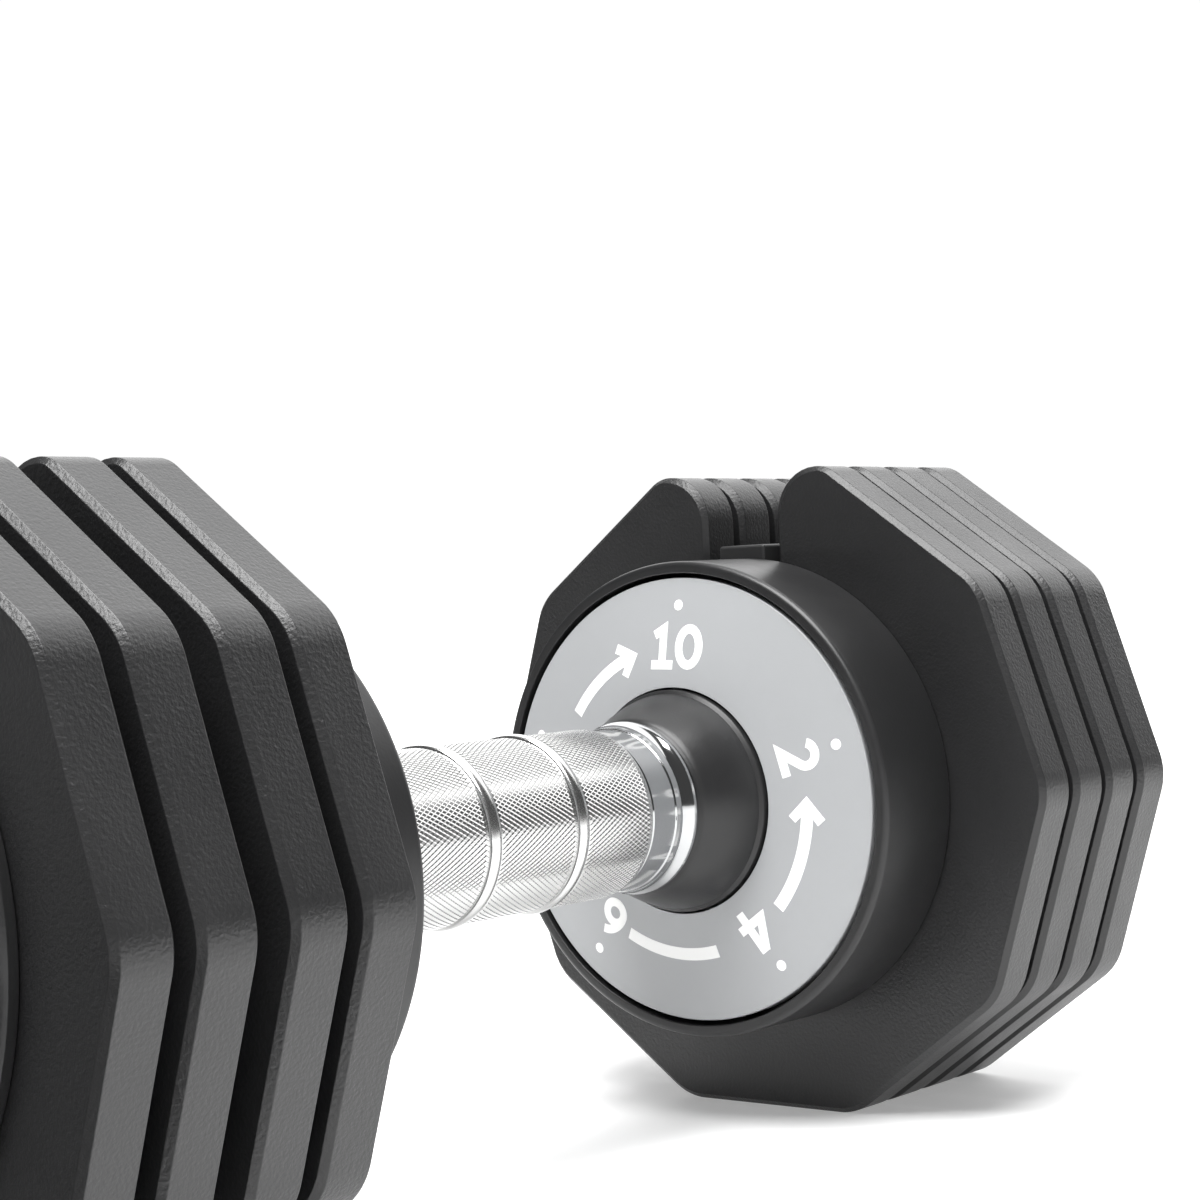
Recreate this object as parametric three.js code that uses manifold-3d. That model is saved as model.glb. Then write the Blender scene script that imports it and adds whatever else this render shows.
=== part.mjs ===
// A 2 to 10 kg adjustable dumbbell whose handle turns to choose the weight.
// Millimetres. X runs along the handle, +X to the far end; Z is up; the plates stand on z = 0.
// Each end is modelled in "end space": x counts outwards from the middle of the handle,
// so the near end is the same design mirrored in X.
import * as THREE from "three";
import { mergeVertices } from "three/addons/utils/BufferGeometryUtils.js";
import Module from "manifold-3d";

const wasm = await Module();
wasm.setup();

// ---- Weight plates -----------------------------------------------------------------------
const plateAcrossFlats = 136;
const plateSides = 10;
const plateThickness = 11;
const plateCornerRadius = 13;
const notchCornerRadius = 8;
const plateChamfer = 1.1;
const platesPerEnd = 4;
const plateGap = 2.6;
const platePitch = plateThickness + plateGap;
const firstPlateX = 89.3;
// How far each plate has slid outwards on its own side play, from the innermost plate on.
const farPlay = [0, 0, 0, 0];
const nearPlay = [0, 0.5, 4.0, 5.2];
const mostPlayInOneGap = 3.5;

// Open notch in the top edge of a plate, where the carrier rail sits.
const notchWidth = 18.4;
const notchLobeRadius = 10;
const notchFloorRadius = 40;

// ---- Handle ------------------------------------------------------------------------------
const axisHeight = plateAcrossFlats / 2;
const gripRadius = 16.8;
const gripHalfLength = 33.8;
const gripBore = 15.0;
const beadCentre = 12.4;
const beadHalfWidth = 1.5;
const beadHeight = 0.6;
const collarRadius = 16.1;
const flangeRadius = 17.5;
const flangeX = 47.6;
const hubRimRadius = 22.9;
const hubRimX = 61.4;
const tubeRadius = 14.7;
const tubeBore = 12.9;
const tubeEndX = 83.9;

// ---- Drum and dial at each end -----------------------------------------------------------
const drumRadius = 49.4;
const drumBore = 46.9;
const drumFrontX = 65.4;
const drumBackX = firstPlateX - 0.3;
const dialRadius = 45.9;
// The dial's face is a shallow cone that stands further forward round the hub than at its edge.
const dialInnerX = 62.3;
const dialEdgeX = 65.8;
const dialBackX = 69.9;
const indexRingX = 70.2;
const indexRingThickness = 6;
const indexRingRadius = 42;
const indexGrooveInner = 29.5;
const indexGrooveOuter = 35;
const indexNotchEnd = 39.5;
const indexGrooveDepth = 3.5;
const indexNotchWidth = 4.8;
const webX = 80.2;
const webEndX = 83;
const bearingX = 76.6;
const bearingEndX = 82;
const bearingRadius = 18.6;

// ---- Weight selection: five positions, one plate pitch of bolt travel for each step -------
const positions = 5;
const stepAngle = THREE.MathUtils.degToRad(360 / positions);
const boltRadius = 12.5;
const boltInnerX = 62;
const boltOuterX = 141;
const boltTravel = platePitch * (positions - 1);
const followerX = 66;
const followerRadius = 2;
const alignBarSide = 7.4;
const alignBarHalfLength = 75;

const keyWidth = 4;
const keyDepth = 2;
const bushRadius = 16.4;

// ---- Lock plunger under each drum, drawn pressed in ----------------------------------------
const plungerWidth = 8;
const plungerThickness = 2.6;
const plungerX = 77;
const plungerTop = -30;
const pegRadius = 2;

// ---- Rail that carries the plates -----------------------------------------------------------
const railWidth = 12;
const railBottom = 43;
const railTop = 52.3;
const railEndX = 140;
const railStubX = webEndX + 1.6;
const railScrewHeight = 44.8;

// ---- Cover on the outermost plate -----------------------------------------------------------
const coverRadius = 52;
const coverThickness = 3.4;
const coverRecess = 1.2;

// ---- Screws: shank radius, head radius and head height --------------------------------------
const backPlateScrewSize = { shank: 1.6, head: 3, headHeight: 1.8 };
const railScrewSize = { shank: 0.9, head: 1.7, headHeight: 1.2 };
const coverScrewSize = { shank: 1.9, head: 3.2, headHeight: 1.3 };
const screwsPerRing = 3;
const backPlateScrewCircle = 33;
const backPlatePocketRadius = 3.4;
const backPlatePocketDepth = 2.4;
const coverScrewCircle = 36;

// ---- Hooks that hold each plate to its inner neighbour ------------------------------------
const hookNeckWidth = 14;
const hookHeadWidth = 22;
const hookHeadThickness = 2.4;
const hookBottom = 20;
const hookTop = 40;
const hookLip = 2.2;

// ---- General ------------------------------------------------------------------------------
const fitGap = 0.3;
const fineSegments = 36;
const coarseSegments = 20;
const screwSegments = 6;
const screwHeadSegments = 10;
const arcSteps = 2;

// ---- Materials: linear colours, roughness and metalness -----------------------------------
function finish(r, g, b, roughness, metalness) {
  return () =>
    new THREE.MeshStandardMaterial({
      color: new THREE.Color(r, g, b),
      roughness,
      metalness,
    });
}
const blackPlate = finish(0.03, 0.03, 0.031, 0.6, 0);
const blackPlastic = finish(0.04, 0.04, 0.042, 0.45, 0);
const greyDial = finish(0.5, 0.51, 0.53, 0.4, 0);
const chrome = finish(0.75, 0.76, 0.78, 0.12, 1);
const steel = finish(0.5, 0.5, 0.52, 0.35, 1);
const bronze = finish(0.5, 0.36, 0.17, 0.4, 1);

// ---- Solids -------------------------------------------------------------------------------
function solidOf(geometry) {
  const bare = geometry.clone();
  bare.deleteAttribute("normal");
  bare.deleteAttribute("uv");
  const merged = mergeVertices(bare, 1e-4);
  const triVerts = new Uint32Array(merged.index.array);
  const vertProperties = merged.attributes.position.array;
  const solid = new wasm.Manifold(
    new wasm.Mesh({ numProp: 3, vertProperties, triVerts }),
  );
  if (solid.volume() > 0) return solid;
  triVerts.reverse();
  return new wasm.Manifold(
    new wasm.Mesh({ numProp: 3, vertProperties, triVerts }),
  );
}

function geometryOf(solid) {
  const mesh = solid.getMesh();
  const geometry = new THREE.BufferGeometry();
  geometry.setAttribute(
    "position",
    new THREE.BufferAttribute(mesh.vertProperties, 3),
  );
  geometry.setIndex(new THREE.BufferAttribute(mesh.triVerts, 1));
  geometry.computeVertexNormals();
  return geometry;
}

// A box between two corners.
function box(x0, x1, y0, y1, z0, z1) {
  const geometry = new THREE.BoxGeometry(x1 - x0, y1 - y0, z1 - z0);
  geometry.translate((x0 + x1) / 2, (y0 + y1) / 2, (z0 + z1) / 2);
  return solidOf(geometry);
}

// A solid of revolution about the handle's axis from closed [x, radius] points.
function turned(points, segments = coarseSegments) {
  const profile = points.map(([x, radius]) => new THREE.Vector2(radius, x));
  profile.push(profile[0].clone());
  const geometry = new THREE.LatheGeometry(profile, segments);
  geometry.rotateZ(-Math.PI / 2);
  return solidOf(geometry);
}

function ring(x0, x1, inner, outer, segments = coarseSegments) {
  return turned(
    [
      [x0, inner],
      [x1, inner],
      [x1, outer],
      [x0, outer],
    ],
    segments,
  );
}

// A cylinder from x0 to x1 whose axis stands off the handle's axis by y and z.
function rod(x0, x1, radius, y = 0, z = 0, segments = coarseSegments) {
  const geometry = new THREE.CylinderGeometry(
    radius,
    radius,
    x1 - x0,
    segments,
  );
  geometry.rotateZ(-Math.PI / 2);
  geometry.translate((x0 + x1) / 2, y, z);
  return solidOf(geometry);
}

function uprightRod(x, y, z0, z1, radius, segments = coarseSegments) {
  const geometry = new THREE.CylinderGeometry(
    radius,
    radius,
    z1 - z0,
    segments,
  );
  geometry.rotateX(Math.PI / 2);
  geometry.translate(x, y, (z0 + z1) / 2);
  return solidOf(geometry);
}

function turnedAboutX(solid, angle) {
  const geometry = geometryOf(solid);
  geometry.rotateX(angle);
  return solidOf(geometry);
}

// ---- Weight plate ---------------------------------------------------------------------------
// Corners of the plate's outline about the handle's axis, from the notch round and back to it.
function plateCorners() {
  const apothem = plateAcrossFlats / 2;
  const circumradius = apothem / Math.cos(Math.PI / plateSides);
  const corners = [];
  for (let i = 0; i < plateSides; i++) {
    const angle = Math.PI / 2 - ((i + 0.5) * 2 * Math.PI) / plateSides;
    corners.push(
      new THREE.Vector2(
        circumradius * Math.cos(angle),
        circumradius * Math.sin(angle),
      ),
    );
  }
  return corners;
}

// Rounds one corner of an outline with an arc that is tangent to both of its sides.
function roundCorner(shape, before, corner, after, radius) {
  const toBefore = before.clone().sub(corner).normalize();
  const toAfter = after.clone().sub(corner).normalize();
  const halfAngle = Math.acos(toBefore.dot(toAfter)) / 2;
  const setBack = radius / Math.tan(halfAngle);
  const start = corner.clone().addScaledVector(toBefore, setBack);
  const bisector = toBefore.clone().add(toAfter).normalize();
  const centre = corner
    .clone()
    .addScaledVector(bisector, radius / Math.sin(halfAngle));
  const end = corner.clone().addScaledVector(toAfter, setBack);
  shape.lineTo(start.x, start.y);
  const clockwise = toBefore.cross(toAfter) > 0;
  shape.absarc(
    centre.x,
    centre.y,
    radius,
    start.clone().sub(centre).angle(),
    end.clone().sub(centre).angle(),
    clockwise,
  );
}

// The points of an outline, without those that an arc shares with the line before it.
function steppedPoints(path, steps) {
  const points = path.getPoints(steps);
  const apart = (a, b) => a.distanceTo(b) > 1e-6;
  const kept = points.filter((point, i) => i === 0 || apart(point, points[i - 1]));
  if (!apart(kept[0], kept[kept.length - 1])) kept.pop();
  return kept;
}

function plateOutline() {
  const top = plateAcrossFlats / 2;
  const half = notchWidth / 2;
  const lobeX = half + notchLobeRadius;
  const shape = new THREE.Shape();
  shape.moveTo(lobeX, top);
  const corners = plateCorners();
  corners.forEach((corner, i) => {
    const before = i > 0 ? corners[i - 1] : new THREE.Vector2(lobeX, top);
    const last = i === corners.length - 1;
    const after = last ? new THREE.Vector2(-lobeX, top) : corners[i + 1];
    const radius = i === 0 || last ? notchCornerRadius : plateCornerRadius;
    roundCorner(shape, before, corner, after, radius);
  });
  shape.lineTo(-lobeX, top);
  const lobeZ = top - notchLobeRadius;
  shape.absarc(-lobeX, lobeZ, notchLobeRadius, Math.PI / 2, 0, true);
  const floor = notchFloorRadius + half;
  shape.lineTo(-half, floor);
  shape.absarc(0, floor, half, Math.PI, 2 * Math.PI, false);
  shape.lineTo(half, lobeZ);
  shape.absarc(lobeX, lobeZ, notchLobeRadius, Math.PI, Math.PI / 2, true);
  const bore = new THREE.Path();
  bore.absarc(0, 0, boltRadius + 2 * fitGap, 0, 2 * Math.PI, false);
  const stepped = new THREE.Shape(steppedPoints(shape, arcSteps));
  stepped.holes.push(new THREE.Path(steppedPoints(bore, coarseSegments / 2)));
  return stepped;
}

// The plain plate, in end space, with its inner face at x = 0.
const plateBlank = (() => {
  const geometry = new THREE.ExtrudeGeometry(plateOutline(), {
    depth: plateThickness - 2 * plateChamfer,
    bevelThickness: plateChamfer,
    bevelSize: plateChamfer,
    bevelOffset: -plateChamfer,
    bevelSegments: 1,
  });
  geometry.translate(0, 0, plateChamfer);
  const outlineToWorld = new THREE.Matrix4().makeBasis(
    new THREE.Vector3(0, 1, 0),
    new THREE.Vector3(0, 0, 1),
    new THREE.Vector3(1, 0, 0),
  );
  geometry.applyMatrix4(outlineToWorld);
  return solidOf(geometry);
})();

// Hooks lie below the handle's axis, so heights above the floor become heights from the axis.
const hookLow = hookBottom - axisHeight;
const hookHigh = hookTop - axisHeight;

// A T-shaped hook that reaches inwards from a plate's inner face at x = 0.
function hook(reach) {
  const neck = hookNeckWidth / 2;
  const head = hookHeadWidth / 2;
  return box(-reach, 1, -neck, neck, hookLow, hookHigh).add(
    box(-reach, -reach + hookHeadThickness, -head, head, hookLow, hookHigh),
  );
}

// The T-slot for a neighbour's hook, open at the bottom, in an outer face at x = faceX.
function hookSlot(faceX, depth) {
  const neck = hookNeckWidth / 2 + 2 * fitGap;
  const head = hookHeadWidth / 2 + 2 * fitGap;
  const top = hookHigh + 2 * fitGap;
  const bottom = -axisHeight - 1;
  const mouthX = faceX - hookLip;
  return box(mouthX - 1, faceX + 1, -neck, neck, bottom, top).add(
    box(faceX - depth, mouthX, -head, head, bottom, top),
  );
}

// How far the hook reaches: across the gap, through the lip, and the head behind it.
const hookClearance = 0.2;
const plateHookReach =
  plateGap + mostPlayInOneGap + hookLip + hookClearance + hookHeadThickness;
const plateSlotDepth = plateHookReach - plateGap + hookClearance;
const firstHookReach = fitGap + hookLip + hookClearance + hookHeadThickness;
const drumSlotDepth = firstHookReach + hookClearance;

function weightPlate(index) {
  const reach = index === 0 ? firstHookReach : plateHookReach;
  const hooked = plateBlank.add(hook(reach));
  const outermost = index === platesPerEnd - 1;
  return outermost
    ? hooked
    : hooked.subtract(hookSlot(plateThickness, plateSlotDepth));
}

// ---- Cover on the outermost plate ------------------------------------------------------------
function outerCover(x) {
  const end = x + coverThickness;
  let cover = turned(
    [
      [x, 0],
      [end - coverRecess, 0],
      [end - coverRecess, coverRadius - 8],
      [end, coverRadius - 6.5],
      [end, coverRadius - 1.4],
      [end - 1.4, coverRadius],
      [x, coverRadius],
    ],
    fineSegments,
  );
  screwPlaces(coverScrewCircle).forEach(([y, z]) => {
    cover = cover.subtract(screwHole(x - 1, end + 1, y, z, coverScrewSize));
  });
  return cover;
}

// ---- Screws and their holes ------------------------------------------------------------------
// Centres of a ring of screws, the first of them at the top.
function screwPlaces(circle) {
  const places = [];
  for (let i = 0; i < screwsPerRing; i++) {
    const angle = Math.PI / 2 + (i * 2 * Math.PI) / screwsPerRing;
    places.push([circle * Math.cos(angle), circle * Math.sin(angle)]);
  }
  return places;
}

// A pan-head screw along X: shank from x0 to x1, then a head with a hexagon socket.
function screw(x0, x1, y, z, size) {
  const top = x1 + size.headHeight;
  const shank = rod(x0, x1 + 0.1, size.shank, y, z, screwSegments);
  const head = rod(x1, top, size.head, y, z, screwHeadSegments);
  const socketFloor = top - size.headHeight * 0.6;
  const socket = rod(socketFloor, top + 1, size.head * 0.45, y, z, 6);
  return shank.add(head).subtract(socket);
}

// A hole from x0 to x1 for a screw's shank.
function screwHole(x0, x1, y, z, size) {
  return rod(x0, x1, size.shank + fitGap, y, z, screwSegments);
}

// ---- Handle --------------------------------------------------------------------------------
function bead(centre) {
  const points = [];
  const steps = 4;
  for (let i = 0; i <= steps; i++) {
    const across = -1 + (2 * i) / steps;
    const height = beadHeight * Math.sqrt(1 - across * across);
    points.push([centre + across * beadHalfWidth, gripRadius + height]);
  }
  return points;
}

function gripSleeve() {
  return turned([
    [-gripHalfLength, gripBore],
    [-gripHalfLength, gripRadius - 0.5],
    [-gripHalfLength + 0.5, gripRadius],
    ...bead(-beadCentre),
    ...bead(beadCentre),
    [gripHalfLength - 0.5, gripRadius],
    [gripHalfLength, gripRadius - 0.5],
    [gripHalfLength, gripBore],
  ]);
}

function collar() {
  return turned([
    [gripHalfLength + fitGap, gripBore],
    [gripHalfLength + fitGap, collarRadius],
    [flangeX - 6.4, collarRadius],
    [flangeX - 5.6, collarRadius + 0.5],
    [flangeX - 4.6, collarRadius + 0.6],
    [flangeX - 4.0, flangeRadius - 0.3],
    [flangeX - 2.6, flangeRadius],
    [flangeX - 1.0, flangeRadius - 0.1],
    [flangeX, flangeRadius - 0.6],
    [flangeX, gripBore],
  ]);
}

function hub() {
  return turned(
    [
      [flangeX + fitGap, gripBore],
      [flangeX + fitGap, flangeRadius - 0.5],
      [flangeX + 0.8, flangeRadius],
      [hubRimX - 1.6, hubRimRadius - 0.8],
      [hubRimX - 0.5, hubRimRadius - 0.3],
      [hubRimX + 0.3, hubRimRadius],
      [dialBackX, hubRimRadius],
      [dialBackX, gripBore],
    ],
    fineSegments,
  );
}

function dial() {
  const bore = hubRimRadius + 1.5 * fitGap;
  return turned(
    [
      [dialInnerX, bore],
      [dialEdgeX, dialRadius],
      [dialBackX, dialRadius],
      [dialBackX, bore],
    ],
    fineSegments,
  );
}

// The ring that locks the handle: a round groove with a notch for each weight position.
function indexRing() {
  const end = indexRingX + indexRingThickness;
  const floor = end - indexGrooveDepth;
  let made = ring(indexRingX, end, gripBore, indexRingRadius, fineSegments);
  made = made.subtract(
    ring(floor, end + 1, indexGrooveInner, indexGrooveOuter, fineSegments),
  );
  const half = indexNotchWidth / 2;
  const notch = box(
    floor,
    end + 1,
    -half,
    half,
    -indexNotchEnd,
    -indexGrooveOuter + 1,
  );
  for (let i = 0; i < positions; i++)
    made = made.subtract(turnedAboutX(notch, i * stepAngle));
  return made;
}

// The helical slot that drives one bolt, as a chain of short straight cuts. Turning the handle
// carries the tube's wall past the follower, which points straight up, so the slot winds the
// other way.
function camSlot() {
  const cuts = 12;
  const slotWidth = 2 * (followerRadius + fitGap);
  const wallDepth = 4;
  const turn = stepAngle * (positions - 1);
  const middle = (tubeRadius + tubeBore) / 2;
  const helixAngle = Math.atan2(middle * turn, boltTravel);
  const cutLength = Math.hypot(boltTravel, middle * turn) / cuts + slotWidth;
  let slot = null;
  for (let i = 0; i <= cuts; i++) {
    const share = i / cuts;
    const geometry = new THREE.BoxGeometry(cutLength, slotWidth, wallDepth);
    geometry.rotateZ(-helixAngle);
    geometry.translate(followerX - share * boltTravel, 0, middle);
    geometry.rotateX(-share * turn);
    const cut = solidOf(geometry);
    slot = slot ? slot.add(cut) : cut;
  }
  return slot;
}

function mirroredInX(solid) {
  const geometry = geometryOf(solid);
  geometry.scale(-1, 1, 1);
  return solidOf(geometry);
}

function camTube() {
  const groove = tubeRadius - 0.6;
  const tube = turned([
    [-tubeEndX, tubeBore],
    [-tubeEndX, tubeRadius],
    [-tubeEndX + 0.5, tubeRadius],
    [-tubeEndX + 0.5, groove],
    [-tubeEndX + 2.1, groove],
    [-tubeEndX + 2.1, tubeRadius],
    [tubeEndX - 2.1, tubeRadius],
    [tubeEndX - 2.1, groove],
    [tubeEndX - 0.5, groove],
    [tubeEndX - 0.5, tubeRadius],
    [tubeEndX, tubeRadius],
    [tubeEndX, tubeBore],
  ]);
  const slot = camSlot();
  return tube.subtract(slot).subtract(mirroredInX(slot));
}

// An open spring ring in the groove at the tube's end.
function retainingRing() {
  const start = tubeEndX - 2.1 + fitGap;
  const closed = ring(start, start + 1, tubeRadius - fitGap, tubeRadius + 2.6);
  return closed.subtract(
    box(start - 1, start + 2, -3, 3, -tubeRadius - 5, -tubeRadius + 3),
  );
}

// ---- Sliding lock bolt -----------------------------------------------------------------------
function lockBolt() {
  const bar = alignBarSide / 2 + fitGap;
  const barEnd = boltInnerX + alignBarHalfLength - 6;
  const halfKey = keyWidth / 2 + fitGap;
  const nose = 1.5;
  const body = turned([
    [boltInnerX, 0],
    [boltOuterX, 0],
    [boltOuterX, boltRadius - nose],
    [boltOuterX - nose, boltRadius],
    [boltInnerX, boltRadius],
  ]);
  const bore = box(boltInnerX - 1, barEnd, -bar, bar, -bar, bar);
  const keyway = box(
    boltInnerX - 1,
    boltOuterX + 1,
    -halfKey,
    halfKey,
    -boltRadius - 1,
    -boltRadius + keyDepth,
  );
  const pinHole = uprightRod(
    followerX,
    0,
    boltRadius - 5,
    boltRadius + 1,
    followerRadius + fitGap / 2,
    12,
  );
  return body.subtract(bore).subtract(keyway).subtract(pinHole);
}

function followerPin() {
  return uprightRod(
    followerX,
    0,
    boltRadius - 4.8,
    tubeRadius - 0.2,
    followerRadius,
    12,
  );
}

// The guide for the bolt, whose key keeps the bolt from turning.
function boltBush() {
  const start = webEndX + fitGap + 1.6;
  const half = keyWidth / 2;
  const body = ring(start, drumBackX, boltRadius + fitGap, bushRadius);
  const key = box(
    start,
    drumBackX,
    -half,
    half,
    -boltRadius - 1,
    -boltRadius + keyDepth - fitGap,
  );
  return body.add(key);
}

function alignBar() {
  const half = alignBarSide / 2;
  return box(-alignBarHalfLength, alignBarHalfLength, -half, half, -half, half);
}

// ---- Drum housing ---------------------------------------------------------------------------
function drumHousing() {
  const roundEdge = 1.3;
  const shell = turned(
    [
      [drumFrontX, drumBore],
      [drumFrontX, drumRadius - roundEdge],
      [drumFrontX + 0.3 * roundEdge, drumRadius - 0.4 * roundEdge],
      [drumFrontX + roundEdge, drumRadius],
      [drumBackX, drumRadius],
      [drumBackX, drumBore],
    ],
    fineSegments,
  );
  const web = ring(
    webX,
    webEndX,
    bearingRadius + fitGap,
    drumBore + 1,
    fineSegments,
  );
  const seat = ring(
    bearingX,
    webX + 1,
    bearingRadius + fitGap,
    bearingRadius + 3.6,
  );
  const halfSlot = plungerWidth / 2 + fitGap;
  const guideTop = plungerTop + 1;
  const guide = box(
    plungerX,
    webX + 1,
    -halfSlot - 2,
    halfSlot + 2,
    -drumBore - 1,
    guideTop,
  );
  const plungerSlot = box(
    plungerX - fitGap,
    plungerX + plungerThickness + fitGap,
    -halfSlot,
    halfSlot,
    -drumRadius - 1,
    guideTop + 1,
  );
  const head = hookHeadWidth / 2 + 2 * fitGap;
  const hookMouth = box(
    drumBackX - drumSlotDepth,
    drumBackX + 1,
    -head,
    head,
    -drumRadius - 1,
    -drumBore + 4,
  );
  let housing = shell.add(web).add(seat).add(guide);
  housing = housing.subtract(plungerSlot).subtract(hookMouth);
  screwPlaces(backPlateScrewCircle).forEach(([y, z]) => {
    housing = housing.subtract(
      screwHole(webX - 1, webEndX + 1, y, z, backPlateScrewSize),
    );
  });
  return housing.subtract(
    screwHole(webX - 1, webEndX + 1, 0, railScrewHeight, railScrewSize),
  );
}

function drumBackPlate() {
  const start = webEndX + fitGap;
  let plate = ring(
    start,
    drumBackX,
    bushRadius + fitGap,
    drumBore - fitGap,
    fineSegments,
  );
  plate = plate.subtract(
    ring(start - 1, tubeEndX + 0.6, bushRadius - 1, tubeRadius + 3.4),
  );
  plate = plate.subtract(hookSlot(drumBackX, drumSlotDepth));
  const half = railWidth / 2;
  plate = plate.subtract(
    box(start + 1, drumBackX + 1, -half, half, railBottom, drumBore),
  );
  plate = plate.subtract(
    screwHole(start - 1, start + 2, 0, railScrewHeight, railScrewSize),
  );
  const pocketX = drumBackX - backPlatePocketDepth;
  screwPlaces(backPlateScrewCircle).forEach(([y, z]) => {
    const hole = screwHole(start - 1, drumBackX, y, z, backPlateScrewSize);
    const radius = backPlatePocketRadius;
    const pocket = rod(pocketX, drumBackX + 1, radius, y, z, screwHeadSegments);
    plate = plate.subtract(hole).subtract(pocket);
  });
  return plate;
}

function backPlateScrew(y, z) {
  const underHead = drumBackX - backPlatePocketDepth + fitGap / 2;
  return screw(webX - 0.6, underHead, y, z, backPlateScrewSize);
}

// The rail runs through the plates' notches and keeps them from turning.
function carrierRail() {
  const half = railWidth / 2;
  const rail = box(drumBackX + 0.15, railEndX, -half, half, railBottom, railTop);
  const stub = box(
    railStubX,
    drumBackX + 1,
    -half + fitGap,
    half - fitGap,
    railBottom + fitGap,
    drumBore - 2 * fitGap,
  );
  const hole = screwHole(
    railStubX - 1,
    railStubX + 3.4,
    0,
    railScrewHeight,
    railScrewSize,
  );
  return rail.add(stub).subtract(hole);
}

// A rail screw enters from the dial side, so it is drawn the other way round and mirrored.
function railScrew() {
  const tip = -(railStubX + 3);
  const underHead = -webX + fitGap / 2;
  return mirroredInX(screw(tip, underHead, 0, railScrewHeight, railScrewSize));
}

function bearing() {
  return ring(bearingX, bearingEndX, tubeRadius + fitGap, bearingRadius);
}

// ---- Sprung lock plunger ----------------------------------------------------------------------
// It is drawn pressed in, as the cradle holds it while a weight is chosen.
function lockPlunger() {
  const half = plungerWidth / 2;
  const foot = -drumRadius + fitGap;
  const bar = box(
    plungerX,
    plungerX + plungerThickness,
    -half,
    half,
    foot,
    plungerTop,
  );
  const pegHeight = -(indexGrooveInner + indexGrooveOuter) / 2;
  const pegX = indexRingX + indexRingThickness - indexGrooveDepth + 0.5;
  return bar.add(rod(pegX, plungerX + 1, pegRadius, 0, pegHeight, 12));
}

function plungerSpring() {
  const wire = 0.35;
  const coilRadius = 1.35;
  const turns = 3;
  const low = plungerTop + wire + 0.05;
  const high = -(bearingRadius + 3.6) - wire - 0.1;
  class Coil extends THREE.Curve {
    getPoint(t, target = new THREE.Vector3()) {
      const angle = t * turns * 2 * Math.PI;
      return target.set(
        plungerX + plungerThickness / 2 + coilRadius * Math.cos(angle),
        coilRadius * Math.sin(angle),
        low + t * (high - low),
      );
    }
  }
  const section = new THREE.Shape();
  section.absarc(0, 0, wire, 0, 2 * Math.PI, false);
  const geometry = new THREE.ExtrudeGeometry(section, {
    steps: turns * 8,
    curveSegments: 3,
    bevelEnabled: false,
    extrudePath: new Coil(),
  });
  return solidOf(geometry);
}

// ---- The whole dumbbell -------------------------------------------------------------------------
const dumbbell = new THREE.Group();
const outerX = (play) =>
  firstPlateX +
  (platesPerEnd - 1) * platePitch +
  play[platesPerEnd - 1] +
  plateThickness;
// The origin is the middle of the object's box, so the handle sits a little to one side of it.
dumbbell.position.set((outerX(nearPlay) - outerX(farPlay)) / 2, 0, axisHeight);

function put(group, name, solid, material) {
  const mesh = new THREE.Mesh(geometryOf(solid), material());
  mesh.name = name;
  group.add(mesh);
  return mesh;
}

put(dumbbell, "grip_sleeve", gripSleeve(), chrome);
put(dumbbell, "cam_tube", camTube(), steel);
put(dumbbell, "align_bar", alignBar(), steel);

const plates = [];
for (let i = 0; i < platesPerEnd; i++) plates.push(weightPlate(i));

function buildEnd(side, play) {
  const end = new THREE.Group();
  end.scale.x = side === "far" ? 1 : -1;
  dumbbell.add(end);
  const add = (name, solid, material) =>
    put(end, `${name}_${side}`, solid, material);

  add("collar", collar(), chrome);
  add("hub", hub(), blackPlastic);
  add("dial", dial(), greyDial);
  add("index_ring", indexRing(), steel);
  add("retaining_ring", retainingRing(), steel);
  add("lock_bolt", lockBolt(), steel);
  add("follower_pin", followerPin(), steel);
  add("drum_housing", drumHousing(), blackPlastic);
  add("drum_back_plate", drumBackPlate(), blackPlastic);
  add("tube_bearing", bearing(), bronze);
  add("bolt_bush", boltBush(), bronze);
  add("carrier_rail", carrierRail(), steel);
  add("rail_screw", railScrew(), steel);
  add("lock_plunger", lockPlunger(), steel);
  add("plunger_spring", plungerSpring(), steel);
  screwPlaces(backPlateScrewCircle).forEach(([y, z], i) => {
    add(`back_plate_screw_${i + 1}`, backPlateScrew(y, z), steel);
  });

  for (let i = 0; i < platesPerEnd; i++) {
    const mesh = add(`weight_plate_${i + 1}`, plates[i], blackPlate);
    mesh.position.x = firstPlateX + i * platePitch + play[i];
  }

  const coverX = outerX(play) + fitGap;
  add("outer_cover", outerCover(coverX), blackPlastic);
  const shankX = coverX + 0.1;
  const underHead = coverX + coverThickness - coverRecess + 0.1;
  screwPlaces(coverScrewCircle).forEach(([y, z], i) => {
    const solid = screw(shankX, underHead, y, z, coverScrewSize);
    add(`cover_screw_${i + 1}`, solid, steel);
  });
}

buildEnd("far", farPlay);
buildEnd("near", nearPlay);

export default dumbbell;
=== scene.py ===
"""The looks of an adjustable dumbbell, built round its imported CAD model.

Lengths are in millimetres, turned to metres where they meet a mesh, except in the studio, whose
sizes are in metres. Along the handle, x counts outwards from the handle's middle, so both ends
are made by the same functions.
"""
import math

import bmesh
import bpy
from mathutils import Matrix, Vector


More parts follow.
